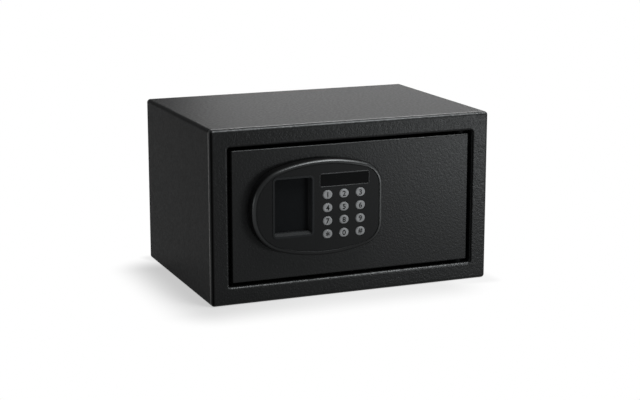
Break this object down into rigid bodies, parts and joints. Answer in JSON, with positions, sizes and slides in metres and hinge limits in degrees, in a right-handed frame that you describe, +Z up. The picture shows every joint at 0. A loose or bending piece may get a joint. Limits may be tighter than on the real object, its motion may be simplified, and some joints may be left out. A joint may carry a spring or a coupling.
{
  "type": "hotel safe",
  "caption": "Small steel hotel safe with a hinged inset front door, motor-driven side bolts, and a raised lock panel with a display, push keys and a finger pocket.",
  "frame": {"origin": "centre of the cabinet's footprint on the underside of its base, so the safe stands on the plane z = 0", "axes": "+X to the right seen from the front, +Y towards the back (the door faces -Y), +Z up"},
  "size_m": [0.342, 0.252, 0.2],
  "materials": {
    "cabinet_paint": "textured black powder coat",
    "door_paint": "textured black powder coat",
    "case_steel": "zinc plated sheet",
    "cover_paint": "satin dark grey paint",
    "hinge_steel": "black phosphated",
    "hardware_steel": "zinc plated",
    "bolt_steel": "turned and polished",
    "rack_brass": "machined",
    "gear_plastic": "moulded acetal",
    "motor_can": "drawn can",
    "board_laminate": "solder mask",
    "component_plastic": "moulded",
    "battery_plastic": "moulded",
    "contact_metal": "nickel plated",
    "cell_wrap": "plain sleeve",
    "floor_felt": "needle felt",
    "black_rubber": "moulded",
    "housing_plastic": "satin moulded",
    "fascia_plastic": "fine grained",
    "cup_plastic": "moulded",
    "lens_plastic": "polished dark lens",
    "key_plastic": "moulded grey"
  },
  "bodies": {
    "cabinet": {"body_wrap": "cabinet_paint", "back_panel": "cabinet_paint", "front_frame": "cabinet_paint", "floor_mat": "floor_felt", "hinge_pin_upper": "hinge_steel", "hinge_pin_lower": "hinge_steel", "hinge_washers": "component_plastic"},
    "door": {"door_plate": "door_paint", "mechanism_case": "case_steel", "cover_posts": "case_steel", "inner_cover": "cover_paint", "cover_screws": "hardware_steel", "hinge_lug_upper": "hinge_steel", "hinge_lug_lower": "hinge_steel", "guide_posts": "hardware_steel", "gear_post": "hardware_steel", "motor_bracket": "case_steel", "lock_motor": "motor_can", "limit_switches": "component_plastic", "control_board": "board_laminate", "board_standoffs": "component_plastic", "board_components": "component_plastic", "battery_box": "battery_plastic", "battery_contacts": "contact_metal", "battery_cells": "cell_wrap", "cable_grommet": "black_rubber", "panel_cable": "black_rubber", "panel_gasket": "black_rubber", "panel_housing": "housing_plastic", "panel_screws": "hardware_steel", "fascia": "fascia_plastic", "finger_cup": "cup_plastic", "display_window": "lens_plastic", "display_module": "component_plastic", "keypad_mat": "black_rubber", "panel_board": "board_laminate"},
    "bolt_works": {"bolt_carriage": "case_steel", "bolt_upper": "bolt_steel", "bolt_lower": "bolt_steel", "bolt_rack": "rack_brass"},
    "drive_gear": {"drive_gear": "gear_plastic"},
    "motor_pinion": {"motor_pinion": "rack_brass", "motor_shaft": "hardware_steel"},
    "battery_lid": {"battery_lid": "battery_plastic"},
    "key_1": {"key_1": "key_plastic"},
    "key_2": {"key_2": "key_plastic"},
    "key_3": {"key_3": "key_plastic"},
    "key_4": {"key_4": "key_plastic"},
    "key_5": {"key_5": "key_plastic"},
    "key_6": {"key_6": "key_plastic"},
    "key_7": {"key_7": "key_plastic"},
    "key_8": {"key_8": "key_plastic"},
    "key_9": {"key_9": "key_plastic"},
    "key_star": {"key_star": "key_plastic"},
    "key_0": {"key_0": "key_plastic"},
    "key_hash": {"key_hash": "key_plastic"}
  },
  "joints": [
    {"name": "door_hinge", "type": "hinge", "parent": "cabinet", "child": "door", "pos_m": [0.138, -0.11, 0.1], "axis": [0, 0, 1], "range_deg": [0, 105]},
    {"name": "bolt_slide", "type": "slide", "parent": "door", "child": "bolt_works", "axis": [-1, 0, 0], "range_m": [0, 0.018]},
    {"name": "drive_gear_spin", "type": "hinge", "parent": "door", "child": "drive_gear", "pos_m": [-0.062, -0.0963, 0.1], "axis": [0, 1, 0], "range_deg": [0, 129]},
    {"name": "motor_pinion_spin", "type": "hinge", "parent": "door", "child": "motor_pinion", "pos_m": [-0.04644, -0.093, 0.11556], "axis": [0, 1, 0], "range_deg": [-344, 0]},
    {"name": "battery_lid_slide", "type": "slide", "parent": "door", "child": "battery_lid", "axis": [-1, 0, 0], "range_m": [0, 0.0599]},
    {"name": "key_1_press", "type": "slide", "parent": "door", "child": "key_1", "axis": [0, 1, 0], "range_m": [0, 0.001], "stiffness_N_per_m": 800, "deforming": ["keypad_mat"]},
    {"name": "key_2_press", "type": "slide", "parent": "door", "child": "key_2", "axis": [0, 1, 0], "range_m": [0, 0.001], "stiffness_N_per_m": 800, "deforming": ["keypad_mat"]},
    {"name": "key_3_press", "type": "slide", "parent": "door", "child": "key_3", "axis": [0, 1, 0], "range_m": [0, 0.001], "stiffness_N_per_m": 800, "deforming": ["keypad_mat"]},
    {"name": "key_4_press", "type": "slide", "parent": "door", "child": "key_4", "axis": [0, 1, 0], "range_m": [0, 0.001], "stiffness_N_per_m": 800, "deforming": ["keypad_mat"]},
    {"name": "key_5_press", "type": "slide", "parent": "door", "child": "key_5", "axis": [0, 1, 0], "range_m": [0, 0.001], "stiffness_N_per_m": 800, "deforming": ["keypad_mat"]},
    {"name": "key_6_press", "type": "slide", "parent": "door", "child": "key_6", "axis": [0, 1, 0], "range_m": [0, 0.001], "stiffness_N_per_m": 800, "deforming": ["keypad_mat"]},
    {"name": "key_7_press", "type": "slide", "parent": "door", "child": "key_7", "axis": [0, 1, 0], "range_m": [0, 0.001], "stiffness_N_per_m": 800, "deforming": ["keypad_mat"]},
    {"name": "key_8_press", "type": "slide", "parent": "door", "child": "key_8", "axis": [0, 1, 0], "range_m": [0, 0.001], "stiffness_N_per_m": 800, "deforming": ["keypad_mat"]},
    {"name": "key_9_press", "type": "slide", "parent": "door", "child": "key_9", "axis": [0, 1, 0], "range_m": [0, 0.001], "stiffness_N_per_m": 800, "deforming": ["keypad_mat"]},
    {"name": "key_star_press", "type": "slide", "parent": "door", "child": "key_star", "axis": [0, 1, 0], "range_m": [0, 0.001], "stiffness_N_per_m": 800, "deforming": ["keypad_mat"]},
    {"name": "key_0_press", "type": "slide", "parent": "door", "child": "key_0", "axis": [0, 1, 0], "range_m": [0, 0.001], "stiffness_N_per_m": 800, "deforming": ["keypad_mat"]},
    {"name": "key_hash_press", "type": "slide", "parent": "door", "child": "key_hash", "axis": [0, 1, 0], "range_m": [0, 0.001], "stiffness_N_per_m": 800, "deforming": ["keypad_mat"]}
  ],
  "couplings": [
    {"joint": "drive_gear_spin", "follows": "bolt_slide", "rad_per_m": 125},
    {"joint": "motor_pinion_spin", "follows": "bolt_slide", "rad_per_m": -333.33}
  ]
}
